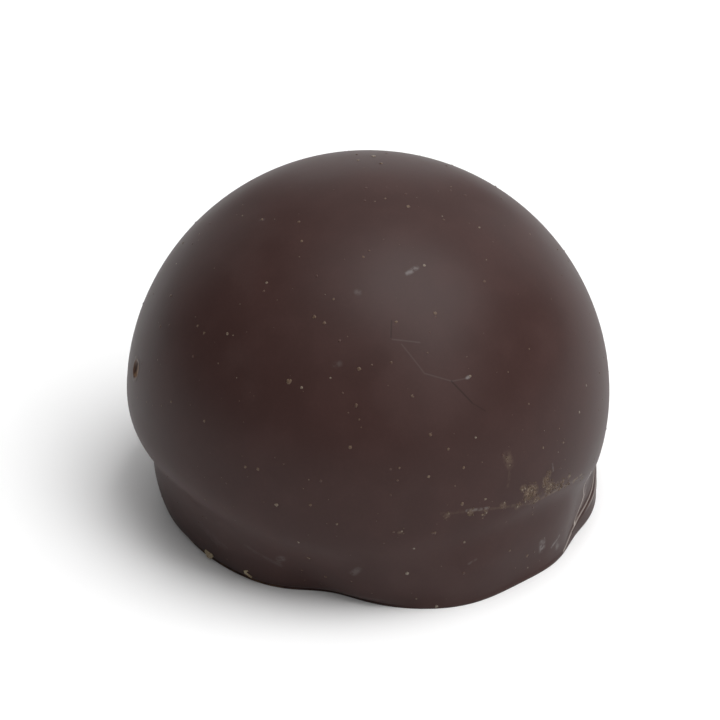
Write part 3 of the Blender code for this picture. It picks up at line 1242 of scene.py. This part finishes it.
# The studio's soft lights: name, bearing, lift, side and power in watts.
LIGHT_DISTANCE = 0.60
LIGHTS = (
    ("overhead_right", 340.0, 66.0, 0.50, 3.67),
    ("overhead_left", 180.0, 82.0, 0.35, 0.61),
    ("back_right", 45.0, 40.0, 0.40, 0.39),
    ("back", 90.0, 28.0, 0.40, 0.29),
    ("back_overhead", 90.0, 62.0, 0.35, 0.26),
    ("back_left", 135.0, 35.0, 0.40, 0.07),
    ("front_left", 240.0, 55.0, 0.40, 0.17),
    ("front_right", 310.0, 30.0, 0.35, 0.73),
    ("low_back_right", 50.0, 12.0, 0.30, 0.30),
    ("low_back", 90.0, 8.0, 0.30, 0.26),
    ("low_back_left", 130.0, 12.0, 0.30, 0.21),
)


def point_at(thing, place, target):
    """Puts a camera or a light at a place, looking at a target."""
    thing.location = place
    thing.rotation_euler = (target - place).to_track_quat("-Z", "Y").to_euler()


def add_lights():
    for name, bearing, lift, side, power in LIGHTS:
        data = bpy.data.lights.new(name, "AREA")
        data.shape = "SQUARE"
        data.size = side
        data.energy = power
        lamp = add_object(name, data)
        point_at(lamp, DOME_MIDDLE + LIGHT_DISTANCE * direction(bearing, lift), DOME_MIDDLE)


def floor_material(colour, glow):
    material = bpy.data.materials.new("studio_floor")
    material.use_nodes = True
    shader = material.node_tree.nodes["Principled BSDF"]
    shader.inputs["Base Color"].default_value = colour
    shader.inputs["Roughness"].default_value = 0.9
    shader.inputs["Specular IOR Level"].default_value = 0.0
    shader.inputs["Emission Color"].default_value = shade(1.0, 1.0, 1.0)
    shader.inputs["Emission Strength"].default_value = glow
    return material


def add_camera(stage):
    """A long lens looking down at the praline's front."""
    toward = direction(270.0, math.degrees(stage.camera_lift))
    right = Vector((1.0, 0.0, 0.0))
    up = toward.cross(right)
    aim = DOME_MIDDLE + stage.aim_right * right + stage.aim_up * up
    data = bpy.data.cameras.new("studio_camera")
    data.sensor_width = SENSOR_WIDTH
    data.lens = SENSOR_WIDTH * stage.camera_distance / stage.frame_width
    data.clip_start = 0.01
    data.clip_end = 20.0
    camera = add_object("studio_camera", data)
    point_at(camera, aim + stage.camera_distance * toward, aim)
    bpy.context.scene.camera = camera


class PRALINE_OT_add_stage(bpy.types.Operator):
    """Add the pale floor, the soft lights and the camera"""

    bl_idname = "praline.add_stage"
    bl_label = "Add Stage"

    def execute(self, context):
        stage = context.scene.praline_stage
        half = 0.5 * stage.floor_size
        corners = [(-half, -half, 0.0), (half, -half, 0.0), (half, half, 0.0), (-half, half, 0.0)]
        data = bpy.data.meshes.new("studio_floor")
        data.from_pydata(corners, [], [(0, 1, 2, 3)])
        data.materials.append(floor_material(tuple(stage.floor_colour), stage.floor_glow))
        add_object("studio_floor", data)
        add_lights()
        world = bpy.data.worlds.new("studio_surroundings")
        world.use_nodes = True
        world.node_tree.nodes["Background"].inputs["Color"].default_value = shade(1.0, 1.0, 1.0)
        world.node_tree.nodes["Background"].inputs["Strength"].default_value = stage.sky
        context.scene.world = world
        add_camera(stage)
        context.scene.view_settings.view_transform = "Standard"
        return {"FINISHED"}


class PRALINE_PT_sidebar(bpy.types.Panel):
    """Lists the praline's settings and the steps that make it"""

    bl_label = "Praline"
    bl_idname = "PRALINE_PT_sidebar"
    bl_space_type = "VIEW_3D"
    bl_region_type = "UI"
    bl_category = "Praline"

    def draw(self, context):
        for group in SETTINGS:
            box = self.layout.box()
            settings = getattr(context.scene, group)
            for name in settings.bl_rna.properties.keys():
                if name not in {"rna_type", "name"}:
                    box.prop(settings, name)
        for step in STEPS:
            self.layout.operator(step.bl_idname)


SETTINGS = {
    "praline_coat": CoatSettings,
    "praline_specks": SpeckSettings,
    "praline_stage": StageSettings,
}
STEPS = (
    PRALINE_OT_add_coat,
    PRALINE_OT_add_specks,
    PRALINE_OT_add_crumbs,
    PRALINE_OT_add_flakes,
    PRALINE_OT_add_stage,
)


def register():
    for group, settings in SETTINGS.items():
        bpy.utils.register_class(settings)
        setattr(bpy.types.Scene, group, PointerProperty(type=settings))
    for item in (*STEPS, PRALINE_PT_sidebar):
        bpy.utils.register_class(item)


def unregister():
    for item in (PRALINE_PT_sidebar, *reversed(STEPS)):
        bpy.utils.unregister_class(item)
    for group, settings in reversed(SETTINGS.items()):
        delattr(bpy.types.Scene, group)
        bpy.utils.unregister_class(settings)


def main():
    register()
    bpy.ops.praline.add_coat()
    bpy.ops.praline.add_specks()
    bpy.ops.praline.add_crumbs()
    bpy.ops.praline.add_flakes()
    bpy.ops.praline.add_stage()


if __name__ == "__main__":
    main()
